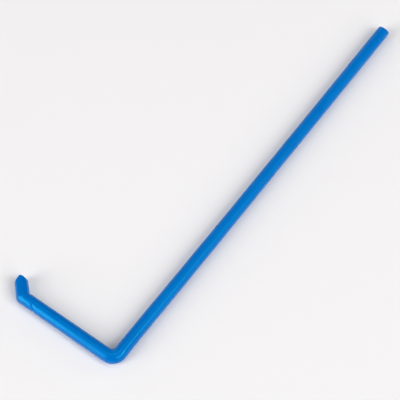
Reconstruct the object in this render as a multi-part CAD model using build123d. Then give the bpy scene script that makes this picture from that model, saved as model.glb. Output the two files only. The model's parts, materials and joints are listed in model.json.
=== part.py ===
from build123d import *
from math import radians, sin, tan
import os

# Cell spreader moulded in one piece: a long handle, a spreading arm square to it,
# and a short hook cut to a point. Millimetres, +Z up.
# It lies flat, as it comes to rest on a bench. The centre lines of all three runs
# share one level plane, half a rod above z = 0. The handle runs from the corner
# along +Y, the arm along -X, and the hook turns from the arm back towards +Y.
# The origin is the centre of the whole part's footprint, at bench level.

# ---- driving dimensions ----
overall_length = 145.0       # outer side of the arm to the trimmed end's longest side
arm_length = 34.3            # corner to hook bend, between centre lines
hook_length = 6.9            # hook bend to the sharp line that the point is rounded from
rod_diameter = 4.3           # arm, corner and hook
root_diameter = 4.2          # handle, just past the corner
grip_diameter = 3.9          # handle, along its parallel free end
root_blend_length = 2.1      # run in which the rod narrows to the root diameter
grip_length = 62.0           # parallel run at the handle's free end
corner_inner_radius = 1.2    # inside of the bend between handle and arm
corner_outer_radius = 4.6    # outside of the same bend, which leaves it wider than the rod
corner_angle = 90.0          # angle between handle and arm
hook_turn = 45.0             # turn from the arm into the hook
tip_angle = 100.0            # included angle of the point, between two upright flats
tip_round = 0.9              # radius of the upright rounded line where the flats meet
tip_edge_round = 0.3         # radius of the edge round the flats
end_slant = 14.0             # trimmed end's lean back from square, upper side shorter
end_round = 0.25             # radius of the edge round the trimmed end

# ---- sizes that follow from them ----
rod_radius = rod_diameter / 2
root_radius = root_diameter / 2
grip_radius = grip_diameter / 2
handle_length = overall_length - rod_radius
inner_bend = corner_inner_radius + rod_radius
outer_bend = corner_outer_radius - rod_radius
bend_turn = 180.0 - corner_angle
inner_trim = inner_bend * tan(radians(bend_turn / 2))
outer_trim = outer_bend * tan(radians(bend_turn / 2))
arm_direction = 90.0 + corner_angle
hook_direction = arm_direction - hook_turn
tip_slope = 1 / tan(radians(tip_angle / 2))


def run_out(direction, distance):
    """Place a solid that lies along +Y so that it runs in a direction from +X."""
    return Rot(0, 0, direction) * Pos(distance, 0, 0) * Rot(0, 0, -90)


def handle():
    """Slim taper from the corner's bend to a parallel grip, trimmed out of square."""
    outline = Polyline(
        (0, inner_trim),
        (rod_radius, inner_trim),
        (root_radius, inner_trim + root_blend_length),
        (grip_radius, handle_length - grip_length),
        (grip_radius, handle_length),
        (0, handle_length),
        close=True,
    )
    rod = revolve(make_face(outline), Axis.Y)
    lowest_edge = (0, handle_length, -grip_radius)
    trim = Plane(lowest_edge, x_dir=(1, 0, 0), z_dir=Vector(0, 1, 0).rotate(Axis.X, end_slant))
    rod = split(rod, bisect_by=trim, keep=Keep.BOTTOM)
    return fillet(rod.faces().sort_by(Axis.Y)[-1].edges(), end_round)


def half_section(side, distance):
    """Half of the full rod's section, standing across the handle at a distance from the corner."""
    half = Circle(rod_radius) & Pos(side * rod_radius, 0) * Rectangle(rod_diameter, rod_diameter)
    return Plane.XZ.offset(-distance) * half


def corner_bend():
    """Turn between the handle and the arm. The rod's two halves turn on radii of their own, and a flat
    crescent lies between them, so the moulding is a little wider here than the rod."""
    inner_axis = Axis((-inner_bend, inner_trim, 0), (0, 0, -1))
    outer_axis = Axis((-outer_bend, outer_trim, 0), (0, 0, -1))
    inner_half = revolve(half_section(-1, inner_trim), inner_axis, bend_turn)
    outer_half = revolve(half_section(1, outer_trim), outer_axis, bend_turn)
    handle_lead = extrude(half_section(1, outer_trim), inner_trim - outer_trim, dir=(0, 1, 0))
    across_corner = Vector(-1, 0, 0).rotate(Axis.Z, corner_angle / 2)
    arm_lead = mirror(handle_lead, Plane((0, 0, 0), z_dir=across_corner))
    to_arm = Vector(1, 0, 0).rotate(Axis.Z, arm_direction)
    crescent = make_face([
        Line((0, inner_trim), (0, outer_trim)),
        RadiusArc((0, outer_trim), to_arm * outer_trim, outer_bend),
        Line(to_arm * outer_trim, to_arm * inner_trim),
        RadiusArc(to_arm * inner_trim, (0, inner_trim), -inner_bend),
    ])
    plate = extrude(crescent, rod_radius, both=True)
    return outer_half + inner_half + handle_lead + arm_lead + plate


def arm():
    """Straight spreading rod from the corner's bend to the hook bend."""
    half_length = (arm_length - inner_trim) / 2
    rod = Rot(90, 0, 0) * Cylinder(rod_radius, 2 * half_length)
    return run_out(arm_direction, inner_trim + half_length) * rod


def hook():
    """Short end cut to a point in plan. Its round back makes the outside of the bend."""
    back = CenterArc((0, 0), rod_radius, -90, 90)
    side = Polyline(back @ 1, (rod_radius, hook_length), (0, hook_length), back @ 0)
    rod = revolve(make_face(back + side), Axis.Y)
    point = (0, hook_length)
    flat_end = hook_length - rod_diameter * tip_slope
    plan = make_face(Polyline(
        (-rod_diameter, -rod_diameter),
        (-rod_diameter, flat_end),
        point,
        (rod_diameter, flat_end),
        (rod_diameter, -rod_diameter),
        close=True,
    ))
    plan = fillet(plan.vertices().sort_by_distance(point)[0], tip_round)
    rod = rod & extrude(plan, rod_diameter, both=True)
    edges = rod.edges().filter_by(GeomType.LINE, reverse=True)
    rim = edges.filter_by_position(Axis.Y, hook_length - rod_radius * tip_slope - tip_round, hook_length)
    rod = fillet(rim, tip_edge_round)
    bend = run_out(arm_direction, arm_length) * Rot(0, 0, hook_direction - arm_direction)
    return bend * rod


def spreader():
    """All four stretches as one moulding, moved to its footprint's centre."""
    rod = handle() + corner_bend() + arm() + hook()
    box = rod.bounding_box()
    return Pos(-box.center().X, -box.center().Y, -box.min.Z) * rod


os.makedirs("parts", exist_ok=True)
moulding = spreader()
export_step(moulding, "parts/spreader.step")

box = moulding.bounding_box()
handle_line = box.max.X - rod_radius
grip_middle = box.min.Y + overall_length - grip_length / 2
print(f"size {box.size.X:.3f} x {box.size.Y:.3f} x {box.size.Z:.3f}, volume {moulding.volume:.1f}")
print(f"middle of the grip at ({handle_line:.3f}, {grip_middle:.3f}, {rod_radius:.3f})")
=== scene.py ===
# %% [markdown]
# # A cell spreader, moulded in one piece
#
# A cell spreader is the small plastic tool that spreads a drop of bacteria over an agar plate. This one is
# a slim round rod with one square bend and one short hook, moulded in blue plastic. There is nothing to
# assemble, so the whole lesson is about one long skin of mesh: how to lead one ring of vertices round
# corners, how to end it, and how to give a plain plastic the small faults that make it believable.
#
# The imported model is loaded first. It is the fixed frame, and several sizes below are taken from its box.

import json
from math import atan, cos, exp, pi, radians, sin, sqrt, tan

import bmesh
import bpy
from mathutils import Matrix, Vector, noise


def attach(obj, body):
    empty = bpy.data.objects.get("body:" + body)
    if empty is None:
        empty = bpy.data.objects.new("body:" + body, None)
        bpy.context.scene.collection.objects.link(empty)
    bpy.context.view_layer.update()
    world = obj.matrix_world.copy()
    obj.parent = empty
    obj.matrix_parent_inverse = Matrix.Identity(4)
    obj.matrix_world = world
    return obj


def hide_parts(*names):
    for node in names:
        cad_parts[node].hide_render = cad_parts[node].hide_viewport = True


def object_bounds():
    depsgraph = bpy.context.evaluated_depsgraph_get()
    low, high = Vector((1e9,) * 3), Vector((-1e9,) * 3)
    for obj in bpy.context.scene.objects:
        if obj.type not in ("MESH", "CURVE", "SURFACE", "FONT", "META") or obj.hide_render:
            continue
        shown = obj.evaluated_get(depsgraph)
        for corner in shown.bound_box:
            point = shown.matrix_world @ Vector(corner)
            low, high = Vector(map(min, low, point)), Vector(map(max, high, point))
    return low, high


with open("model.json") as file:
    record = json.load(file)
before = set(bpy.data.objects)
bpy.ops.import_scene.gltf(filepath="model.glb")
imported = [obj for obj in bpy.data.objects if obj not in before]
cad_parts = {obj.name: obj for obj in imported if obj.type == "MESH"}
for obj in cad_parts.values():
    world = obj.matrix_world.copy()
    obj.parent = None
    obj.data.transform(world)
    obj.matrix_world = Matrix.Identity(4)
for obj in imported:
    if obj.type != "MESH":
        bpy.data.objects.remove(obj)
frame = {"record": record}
cad_low, cad_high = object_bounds()
MM = 0.001
print("box in mm", [round(v / MM, 2) for v in (*cad_low, *cad_high)])

# %% [markdown]
# ## Sizes
#
# The rod lies on the bench, so its height is its diameter. The grip's radius and the handle's line come from
# the grip mount in the record. The lengths that the box can't give are named here, in metres, once. Two
# vertices nearer than TOUCHING count as one.

# %% Sizes of the rod
TOUCHING = 1e-7
grip = next(m for m in frame["record"]["mounts"] if m["name"] == "grip_end")
rod_radius = cad_high.z / 2
root_radius = 2.1 * MM
grip_radius = grip["dims"]["r_mm"] * MM

handle_x = grip["pos_m"][0]
arm_y = cad_low.y + rod_radius
rod_z = rod_radius

arm_length = 34.3 * MM
hook_length = 6.9 * MM
hook_turn = radians(45)
grip_length = 62.0 * MM
root_blend = 2.1 * MM
overall_length = 145.0 * MM
free_end_y = cad_low.y + overall_length
corner_inside = 1.2 * MM
corner_outside = 4.6 * MM
print("rod radius in mm", round(rod_radius / MM, 3), "and free end at", round(free_end_y / MM, 2))

# %% [markdown]
# ## The ring that becomes the rod
#
# A moulded rod has the same round section all the way, so it can be one ring of vertices, carried along and
# extruded as it goes. The ring starts at the handle's free end, a little past it, because that end is cut
# to its slant later.
#
# The mould's two halves meet on the rod's mid-height, and they leave a fine seam there. The two vertices
# beside each seam are drawn in a little, so the seam runs on as a thin line round the whole moulding.

# %% Start the ring at the handle's free end
RING_SEGMENTS = 96
SEAM_DEPTH = 0.018 * MM
trim_allowance = 1.0 * MM
clear_of_cuts = 0.6 * MM

rod = bmesh.new()
bmesh.ops.create_circle(rod, segments=RING_SEGMENTS, radius=grip_radius)
bmesh.ops.rotate(rod, matrix=Matrix.Rotation(radians(90), 3, "X"), verts=rod.verts)
seam_step = 2 * pi / RING_SEGMENTS
for vert in rod.verts:
    on_level = abs(vert.co.z) / grip_radius
    if 0.5 * sin(seam_step) < on_level < 1.5 * sin(seam_step):
        vert.co *= 1 - SEAM_DEPTH / grip_radius
bmesh.ops.translate(rod, vec=(handle_x, free_end_y + trim_allowance, rod_z), verts=rod.verts)
ring = list(rod.edges)
print("ring of", len(ring), "edges")

# %% [markdown]
# ## Carrying the ring
#
# Extruding a ring's edges gives a second ring that can be moved, turned or swollen. This helper does that
# once and hands back the new ring, so a straight run is a short loop and a bend is a loop of small turns.

# %% A helper that carries the ring one step
def ring_verts(edges):
    """The vertices of a ring, each once."""
    return list({vert for edge in edges for vert in edge.verts})


def carry(edges, step, swell=1.0):
    """Extrude the ring, move the new ring by a matrix, and scale it about its own centre."""
    made = bmesh.ops.extrude_edge_only(rod, edges=edges)["geom"]
    verts = [item for item in made if isinstance(item, bmesh.types.BMVert)]
    bmesh.ops.transform(rod, matrix=step, verts=verts)
    centre = sum((vert.co for vert in verts), Vector()) / len(verts)
    bmesh.ops.scale(rod, vec=(swell,) * 3, space=Matrix.Translation(-centre), verts=verts)
    inside = set(verts)
    return [item for item in made if isinstance(item, bmesh.types.BMEdge) and inside.issuperset(item.verts)]


def run(edges, direction, stations):
    """A straight run: stations are (distance, radius) pairs, from where the ring stands."""
    gone, radius = stations[0]
    for distance, next_radius in stations[1:]:
        edges = carry(edges, Matrix.Translation(direction * (distance - gone)), next_radius / radius)
        gone, radius = distance, next_radius
    return edges


def even(start, end, step):
    """Stations between two (distance, radius) ends, about a step apart."""
    count = max(1, round((end[0] - start[0]) / step))
    return [(start[0] + (end[0] - start[0]) * i / count, start[1] + (end[1] - start[1]) * i / count)
            for i in range(count + 1)]


# %% [markdown]
# ## The handle
#
# The handle is a gentle taper. It is parallel for the last 62 mm, where the hand holds it, and it thickens
# towards the corner, with a short blend into the full rod. Many short steps are used where two would do,
# because the small waves of a real moulding need vertices to live on.

# %% Run the handle down to the corner
RUN_STEP = 1.0 * MM
to_corner = Vector((0, -1, 0))
END_SLANT = radians(14)
grip_start = free_end_y - grip_length
corner_start = arm_y + rod_radius + corner_inside
blend_start = corner_start + root_blend
past_end = free_end_y + trim_allowance
first_ring = trim_allowance + 2 * grip_radius * tan(END_SLANT) + clear_of_cuts

stations = [(0, grip_radius)]
stations += even((first_ring, grip_radius), (past_end - grip_start, grip_radius), RUN_STEP)
stations += even(stations[-1], (past_end - blend_start, root_radius), RUN_STEP)[1:]
stations += even(stations[-1], (past_end - corner_start, rod_radius), RUN_STEP / 2)[1:]
ring = run(ring, to_corner, stations)
print("handle of", len(stations), "rings")

# %% [markdown]
# ## A helper for both bends
#
# The moulding bends twice, and at both bends it is thicker than the rod. Inside, each bend turns tightly, and
# outside it goes straight on for a while and then follows a tight arc. So the ring is fanned about an upright
# axis at the inside of the bend, and at each step it is stretched away from the inside until it reaches the
# true outside.

# %% Fan the ring round a bend
def outside(turn, bend):
    """How far the outside lies from the bend's axis, at a turn into the bend."""
    straight = bend["inside"] + 2 * rod_radius
    flat_turn = atan(bend["flat"] / straight)
    if not flat_turn < turn < bend["turn"] - flat_turn:
        return straight / cos(min(turn, bend["turn"] - turn))
    to_arc_middle = bend["flat"] / sin(bend["turn"] / 2)
    off_middle = turn - bend["turn"] / 2
    beside = to_arc_middle * sin(off_middle)
    return to_arc_middle * cos(off_middle) + sqrt(bend["outside"] ** 2 - beside ** 2)


def fan(edges, axis, outward, bend):
    """Turn the ring clockwise about an upright axis, and stretch it to the bend's outside on the way."""
    turn_step = bend["turn"] / bend["steps"]
    turning = Matrix.Rotation(-turn_step, 4, "Z")
    thick = 2 * rod_radius
    for i in range(1, bend["steps"] + 1):
        edges = carry(edges, Matrix.Translation(axis) @ turning @ Matrix.Translation(-axis))
        outward = turning.to_3x3() @ outward
        still = axis + outward * bend["inside"]
        next_thick = outside(i * turn_step, bend) - bend["inside"]
        stretch = Matrix.Scale(next_thick / thick, 4, outward)
        bmesh.ops.transform(rod, matrix=stretch, space=Matrix.Translation(-still), verts=ring_verts(edges))
        thick = next_thick
    return edges


print("plain bend's outside in mm", round((corner_inside + 2 * rod_radius) / MM, 2))

# %% [markdown]
# ## The corner
#
# The square corner has a small radius inside, and outside it is tighter than a bend of even thickness would
# be. That leaves a little more plastic where the tool bends most in use.

# %% Fan the ring round the corner
corner = {
    "turn": radians(90),
    "steps": 30,
    "inside": corner_inside,
    "outside": corner_outside,
    "flat": corner_inside + 2 * rod_radius - corner_outside,
}
corner_axis = Vector((handle_x - rod_radius - corner_inside, corner_start, rod_z))
ring = fan(ring, corner_axis, Vector((1, 0, 0)), corner)
print("corner of", corner["steps"], "rings")

# %% [markdown]
# ## The arm and the hook's bend
#
# The arm runs straight to the hook. The bend there has a sharp crease inside, and outside it is as round as
# the rod's own end would be. It is the same fan, with no radius inside and the rod's own radius outside.

# %% Run the arm and fan the ring round the crease
to_hook = Vector((-1, 0, 0))
hook_bend = {
    "turn": hook_turn,
    "steps": 18,
    "inside": 0,
    "outside": rod_radius,
    "flat": rod_radius * tan(hook_turn / 2),
}
arm_run = arm_length - rod_radius - corner_inside - hook_bend["flat"]
ring = run(ring, to_hook, even((0, rod_radius), (arm_run, rod_radius), RUN_STEP / 6))

crease = Vector((handle_x - arm_length + hook_bend["flat"], arm_y + rod_radius, rod_z))
ring = fan(ring, crease, Vector((0, -1, 0)), hook_bend)
print("arm run in mm", round(arm_run / MM, 2), "and bend of", hook_bend["steps"], "rings")

# %% [markdown]
# ## The wall of the hook's point
#
# Two upright flats cut the hook to a point, as a mould's two cheeks would leave it, and the line where they
# meet is round. Seen from above, that wall is a simple curve: how far along the hook it stands depends only
# on how far across the hook you are. One helper gives the curve. The other sends each vertex of the ring
# along the hook to its own place on it.

# %% Two helpers for the wall
TIP_ANGLE = radians(100)
TIP_ROUND = 0.9 * MM
flat_turn = (pi - TIP_ANGLE) / 2
bend = Vector((handle_x - arm_length, arm_y, rod_z))
along_hook = Matrix.Rotation(-hook_turn, 3, "Z") @ to_hook
across_hook = Vector((along_hook.y, -along_hook.x, 0))


def wall(across):
    """How far along the hook the point's wall stands, at a distance across from the hook's middle."""
    if abs(across) > TIP_ROUND * sin(flat_turn):
        return hook_length - abs(across) * tan(flat_turn)
    return hook_length - TIP_ROUND / cos(flat_turn) + sqrt(TIP_ROUND ** 2 - across ** 2)


def arrive(edges, radius, short):
    """Extrude the ring, bring it to a radius about the hook's axis, and stop it short of the point's wall."""
    edges = carry(edges, Matrix.Identity(4))
    for vert in ring_verts(edges):
        spoke = Vector(((vert.co - bend).dot(across_hook), vert.co.z - rod_z)).normalized() * radius
        level = bend + across_hook * spoke.x + along_hook * (wall(spoke.x) - short)
        vert.co = level + Vector((0, 0, spoke.y))
    return edges


print("sharp line of the point in mm", [round(v / MM, 2) for v in bend + along_hook * hook_length])

# %% [markdown]
# ## The hook and its point
#
# The ring runs straight out along the hook, and then it arrives at the wall in a few small steps. It shrinks
# a little at each of them, which rounds the wall's rim. One last ring is set in by a hair, which keeps the
# wall's shading flat up to the rim. The wall itself is bridged from the ring's upper half to its lower half,
# so it is a row of upright faces, and a small triangle closes it at each side.

# %% Run the hook out and close its point
TIP_EDGE_ROUND = 0.3 * MM
RIM_STEPS = 6
FLAT_MARGIN = 0.04 * MM
hook_end = hook_length - rod_radius * tan(flat_turn) - clear_of_cuts
stations = even((hook_bend["flat"], rod_radius), (hook_end, rod_radius), RUN_STEP / 2)
ring = run(ring, along_hook, stations)

for i in range(RIM_STEPS + 1):
    roll = radians(90) * i / RIM_STEPS
    ring = arrive(ring, rod_radius - TIP_EDGE_ROUND * (1 - cos(roll)), TIP_EDGE_ROUND * (1 - sin(roll)))
ring = arrive(ring, rod_radius - TIP_EDGE_ROUND - FLAT_MARGIN, 0)

upper = [edge for edge in ring if all(vert.co.z > rod_z + TOUCHING for vert in edge.verts)]
lower = [edge for edge in ring if all(vert.co.z < rod_z - TOUCHING for vert in edge.verts)]
columns = bmesh.ops.bridge_loops(rod, edges=upper + lower)
corners = bmesh.ops.holes_fill(rod, edges=ring + columns["edges"], sides=3)
print("wall of", len(columns["faces"]), "upright faces and", len(corners["faces"]), "triangles")

# %% [markdown]
# ## The trimmed end
#
# The moulding was cut from its runner at the handle's free end, a little out of square. The ring started
# past that end, so a knife cuts it back. The knife is bisect_plane: it cuts on a plane and clears what lies
# beyond, and the hole is filled.

# %% Trim the free end
TRIM_REACH = 12 * MM


def part_near(point, reach):
    """The vertices, edges and faces that lie wholly within reach of a point."""
    verts = {vert for vert in rod.verts if (vert.co - point).length < reach}
    edges = [edge for edge in rod.edges if verts.issuperset(edge.verts)]
    faces = [face for face in rod.faces if verts.issuperset(face.verts)]
    return list(verts) + edges + faces


END_FACING = Vector((0, cos(END_SLANT), sin(END_SLANT)))
end_foot = Vector((handle_x, free_end_y, rod_z - grip_radius))
cut = bmesh.ops.bisect_plane(rod, geom=part_near(end_foot, TRIM_REACH), dist=TOUCHING,
                             plane_co=end_foot, plane_no=END_FACING, clear_outer=True)
cut_rim = [item for item in cut["geom_cut"] if isinstance(item, bmesh.types.BMEdge)]
bmesh.ops.holes_fill(rod, edges=cut_rim, sides=0)
print("trimmed at", round(end_foot.y / MM, 2))

# %% [markdown]
# ## Soft edges
#
# Nothing on this moulding is sharp, because it has to slide over soft agar and meets a glove. The point's rim
# is round already, and the trimmed end's rim is bevelled here. The end's wide flat is then set in by a hair,
# as the point's wall was.

# %% Round the trimmed end
END_ROUND = 0.32 * MM
SMALL_FACE = 12
bmesh.ops.bevel(rod, geom=cut_rim, offset=END_ROUND, offset_type="OFFSET", segments=RIM_STEPS,
                profile=0.5, affect="EDGES", material=-1)
flats = [face for face in rod.faces if len(face.verts) > SMALL_FACE]
bmesh.ops.inset_individual(rod, faces=flats, thickness=FLAT_MARGIN)
bmesh.ops.remove_doubles(rod, verts=rod.verts, dist=TOUCHING)
bmesh.ops.recalc_face_normals(rod, faces=rod.faces)
open_edges = [edge for edge in rod.edges if not edge.is_manifold]
print(len(flats), "flat,", len(open_edges), "open edges and", len(rod.faces), "faces")

# %% [markdown]
# ## The faults of a moulding
#
# No long thin moulding cools straight and even. The handle bows by a tenth of a millimetre. Close to the
# corner it leans the other way, because the thick corner cools last and draws the inside in. The skin rises
# and sinks by a few hundredths, which is what makes a highlight wander along it, and near the hook, where
# the melt arrives last, the ripples are short. The hook has its own block in the mould. Where that block
# ends, a faint line crosses the arm beside the bend, in the same direction as the hook. The bend's thick back
# has a sink mark, a shallow flat where the plastic shrank. On the full rod the skin only sinks, so it stays
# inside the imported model's box.

# %% Bow the handle and ripple the skin
BOW = 0.13 * MM
LEAN = 0.12 * MM
LEAN_PLACE = 8.0 * MM
WAVE_DEPTH = 0.08 * MM
WAVE_LENGTH = 7.0 * MM
RIPPLE_DEPTH = 0.09 * MM
RIPPLE_LENGTH = 2.2 * MM
RIPPLE_REACH = 12.0 * MM
LINE_DEPTH = 0.12 * MM
LINE_WIDTH = 0.24 * MM
LINE_PLACE = 2.3 * MM
SINK_DEPTH = 0.09 * MM
SINK_WIDTH = 0.9 * MM
SINK_SIDE = Vector((-0.08, -0.67, 0.74))
sink_place = bend + SINK_SIDE * rod_radius


def bow(point):
    """How far a point of the handle has moved towards +X."""
    gone = max(point.y - corner_start, 0)
    lean = gone / LEAN_PLACE * exp(1 - gone / LEAN_PLACE)
    return BOW * sin(pi * gone / (free_end_y - corner_start)) - LEAN * lean


def rise(point):
    """How far the skin stands above its true place at a point. It is never above on the full rod."""
    from_bend = point - bend
    on_handle = min(max((point.y - corner_start) / root_blend, 0), 1)
    wave = WAVE_DEPTH / 2 * (noise.noise(point / WAVE_LENGTH) - 1 + on_handle) * (1 + on_handle) / 2
    fading = exp(-from_bend.length / RIPPLE_REACH)
    ripple = RIPPLE_DEPTH / 2 * (noise.noise(point / RIPPLE_LENGTH) - 1) * fading
    line = 0
    if from_bend.dot(along_hook) < hook_bend["flat"]:
        line = LINE_DEPTH * exp(-((from_bend.dot(across_hook) - LINE_PLACE) / LINE_WIDTH) ** 2)
    sink = SINK_DEPTH * exp(-((point - sink_place).length / SINK_WIDTH) ** 2)
    return wave + ripple - line - sink


rod.normal_update()
moves = [Vector((bow(vert.co), 0, 0)) + vert.normal * rise(vert.co) for vert in rod.verts]
for vert, move in zip(rod.verts, moves):
    vert.co += move
print("largest move in mm", round(max(move.length for move in moves) / MM, 3))

# %% [markdown]
# ## From mesh to object
#
# The finished skin becomes a mesh, and the mesh an object. The object stays at the origin, because its place
# is already in its mesh.

# %% Make the object
mesh = bpy.data.meshes.new("spreader_moulding")
rod.to_mesh(mesh)
rod.free()
mesh.shade_smooth()
spreader = bpy.data.objects.new("spreader_moulding", mesh)
bpy.context.scene.collection.objects.link(spreader)
print("moulding of", len(mesh.polygons), "faces")

# %% [markdown]
# ## Gloss that changes from place to place
#
# A moulding copies its mould. Where the mould's steel is polished, as round the bends, the plastic comes out
# glossier than on the plain runs. A Vector Math node measures how far the skin is from a spot, and Map Range
# turns that distance into a roughness.

# %% Two helpers for the plastic
def node(tree, kind, **inputs):
    """A new node, with its named inputs set."""
    made = tree.nodes.new(kind)
    for name, value in inputs.items():
        made.inputs[name.replace("_", " ")].default_value = value
    return made


PLAIN_SKIN = 0.29


def polished(tree, place, spot, near, far, polish):
    """Roughness that grows from a polished spot to the plain skin."""
    away = tree.nodes.new("ShaderNodeVectorMath")
    away.operation = "DISTANCE"
    away.inputs[1].default_value = spot
    skin = node(tree, "ShaderNodeMapRange", From_Min=near, From_Max=far, To_Min=polish, To_Max=PLAIN_SKIN)
    tree.links.new(place, away.inputs[0])
    tree.links.new(away.outputs["Value"], skin.inputs["Value"])
    return skin.outputs["Result"]


print("roughness of the plain skin", PLAIN_SKIN)

# %% [markdown]
# ## The plastic
#
# The plastic is a strong opaque blue with a semi-gloss skin. Up close it has a very fine grain from the
# mould, slightly uneven gloss, and slow streaks of colour where the melt flowed. All of it is drawn from
# Object coordinates, so it stays fixed to the moulding from every side.

# %% Blue plastic
HOOK_POLISH = 0.10
CORNER_POLISH = 0.08
DEEP_BLUE = (0.0, 0.138, 0.49, 1)
LIGHT_BLUE = (0.0, 0.153, 0.52, 1)
BLUE_SHEEN = (0.03, 0.75, 1.0, 1)
corner_back = Vector((handle_x + rod_radius / 2, arm_y + rod_radius, 2 * rod_radius))


def blue_plastic():
    """Opaque semi-gloss plastic with grain, uneven gloss and faint flow streaks."""
    material = bpy.data.materials.new("blue_plastic")
    material.use_nodes = True
    tree = material.node_tree
    link = tree.links.new
    shader = tree.nodes["Principled BSDF"]
    shader.inputs["IOR"].default_value = 1.5
    shader.inputs["Specular Tint"].default_value = BLUE_SHEEN
    place = tree.nodes.new("ShaderNodeTexCoord").outputs["Object"]

    flow = node(tree, "ShaderNodeTexNoise", Scale=120.0, Detail=3.0)
    colour = tree.nodes.new("ShaderNodeValToRGB")
    colour.color_ramp.elements[0].position = 0.3
    colour.color_ramp.elements[1].position = 0.7
    colour.color_ramp.elements[0].color = DEEP_BLUE
    colour.color_ramp.elements[1].color = LIGHT_BLUE
    link(place, flow.inputs["Vector"])
    link(flow.outputs["Fac"], colour.inputs["Fac"])
    link(colour.outputs["Color"], shader.inputs["Base Color"])

    hook_skin = polished(tree, place, bend, 8.0 * MM, 24.0 * MM, HOOK_POLISH)
    corner_skin = polished(tree, place, corner_back, 1.2 * MM, 2.4 * MM, CORNER_POLISH)
    smoother = tree.nodes.new("ShaderNodeMath")
    smoother.operation = "MINIMUM"
    link(hook_skin, smoother.inputs[0])
    link(corner_skin, smoother.inputs[1])
    gloss = node(tree, "ShaderNodeTexNoise", Scale=110.0, Detail=3.0)
    uneven = node(tree, "ShaderNodeMapRange", To_Min=-0.12, To_Max=0.12)
    roughness = tree.nodes.new("ShaderNodeMath")
    link(place, gloss.inputs["Vector"])
    link(gloss.outputs["Fac"], uneven.inputs["Value"])
    link(smoother.outputs["Value"], roughness.inputs[0])
    link(uneven.outputs["Result"], roughness.inputs[1])
    link(roughness.outputs["Value"], shader.inputs["Roughness"])

    grain = node(tree, "ShaderNodeTexNoise", Scale=4000.0, Detail=2.0)
    bump = node(tree, "ShaderNodeBump", Strength=0.15, Distance=0.02 * MM)
    link(place, grain.inputs["Vector"])
    link(grain.outputs["Fac"], bump.inputs["Height"])
    link(bump.outputs["Normal"], shader.inputs["Normal"])
    return material


mesh.materials.append(blue_plastic())
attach(spreader, "root")
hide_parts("spreader")
print("material on", spreader.name)

# %% [markdown]
# ## The bench
#
# The tool lies on a plain pale sheet. It is a stage, not part of the object.

# %% Pale floor
FLOOR_SIDE = 4.0
floor_mesh = bpy.data.meshes.new("floor")
sheet = bmesh.new()
bmesh.ops.create_grid(sheet, x_segments=1, y_segments=1, size=FLOOR_SIDE / 2)
sheet.to_mesh(floor_mesh)
sheet.free()
floor = bpy.data.objects.new("floor", floor_mesh)
bpy.context.scene.collection.objects.link(floor)
paper = bpy.data.materials.new("pale_paper")
paper.use_nodes = True
paper.node_tree.nodes["Principled BSDF"].inputs["Base Color"].default_value = (0.86, 0.845, 0.85, 1)
paper.node_tree.nodes["Principled BSDF"].inputs["Roughness"].default_value = 0.9
paper.node_tree.nodes["Principled BSDF"].inputs["Specular IOR Level"].default_value = 0.2
floor_mesh.materials.append(paper)
print("floor of", FLOOR_SIDE, "m")

# %% [markdown]
# ## Camera
#
# A long lens from well above keeps the two rods almost free of perspective. The camera stands on a circle
# round the aim point, so three numbers place it: how far round, how high and how far away.

# %% Camera
AZIMUTH = radians(36.27)
ELEVATION = radians(62.23)
DISTANCE = 0.6
FOCAL_LENGTH = 176.36
FILM_WIDTH = 36
AIM_ALONG_ARM = 11.17 * MM
AIM_ALONG_HANDLE = 57.65 * MM
aim = Vector((handle_x - AIM_ALONG_ARM, arm_y + AIM_ALONG_HANDLE, rod_z))


def around(turn, elevation, distance):
    """A point round the aim: turn 0 is to the camera's right, and -90 degrees is towards the camera."""
    angle = turn + AZIMUTH
    return aim + distance * Vector((cos(angle) * cos(elevation), sin(angle) * cos(elevation), sin(elevation)))


lens = bpy.data.cameras.new("camera")
lens.sensor_width = FILM_WIDTH
lens.lens = FOCAL_LENGTH
camera = bpy.data.objects.new("camera", lens)
camera.location = around(radians(-90), ELEVATION, DISTANCE)
camera.rotation_mode = "QUATERNION"
camera.rotation_quaternion = (aim - camera.location).to_track_quat("-Z", "Y")
bpy.context.scene.collection.objects.link(camera)
bpy.context.scene.camera = camera
print("camera at", [round(v, 4) for v in camera.location])

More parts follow.
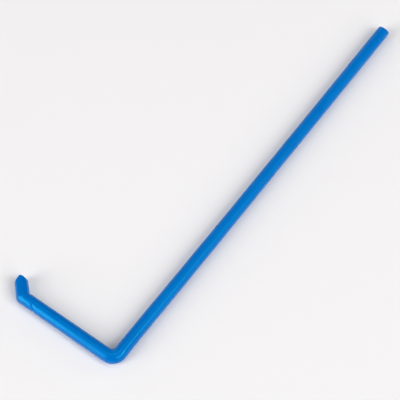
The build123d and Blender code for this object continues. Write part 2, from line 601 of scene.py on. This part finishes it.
# %% [markdown]
# ## Light
#
# Large soft boxes stand at the left and at the right of the camera, as on a copy stand. A soft box is
# brighter in its middle, so each has a core. The left ones make the bright line on the arm and on the hook's
# bend, and the right core makes the small curl of light on the corner. Four cards behind and above lift the
# far sides, and a low grey sky fills the rest.

# %% Soft boxes, cards and a grey sky
BOX_DISTANCE = 2.0


def soft_box(name, turn, elevation, width, height, glow):
    """A flat area light that faces the aim point. Its power follows from its size and how bright it looks."""
    light = bpy.data.lights.new(name, "AREA")
    light.shape = "RECTANGLE"
    light.size = width
    light.size_y = height
    light.energy = pi * width * height * glow
    box = bpy.data.objects.new(name, light)
    box.location = around(radians(turn), radians(elevation), BOX_DISTANCE)
    box.rotation_mode = "QUATERNION"
    box.rotation_quaternion = (aim - box.location).to_track_quat("-Z", "Y")
    box.visible_camera = False
    bpy.context.scene.collection.objects.link(box)


soft_box("left_box", turn=-156, elevation=18, width=1.24, height=1.16, glow=4.9)
soft_box("left_core", turn=-154, elevation=26, width=0.50, height=0.50, glow=3.2)
soft_box("left_top", turn=-156, elevation=46, width=0.60, height=0.60, glow=6.0)
soft_box("right_box", turn=-38, elevation=45, width=1.56, height=1.16, glow=3.6)
soft_box("right_low", turn=-42, elevation=22, width=1.56, height=0.56, glow=2.8)
soft_box("right_core", turn=-16, elevation=42, width=0.40, height=0.30, glow=7.5)
soft_box("back_right_card", turn=20, elevation=15, width=0.60, height=0.60, glow=5.0)
soft_box("back_left_card", turn=144, elevation=18, width=0.60, height=1.00, glow=2.0)
soft_box("back_card", turn=105, elevation=26, width=0.60, height=1.00, glow=1.2)
soft_box("top_card", turn=80, elevation=82, width=1.00, height=1.00, glow=1.9)

sky = bpy.data.worlds.new("sky")
sky.use_nodes = True
sky.node_tree.nodes["Background"].inputs["Color"].default_value = (1, 1, 1, 1)
sky.node_tree.nodes["Background"].inputs["Strength"].default_value = 0.10
bpy.context.scene.world = sky
bpy.context.scene.view_settings.view_transform = "Standard"
print("lights set")
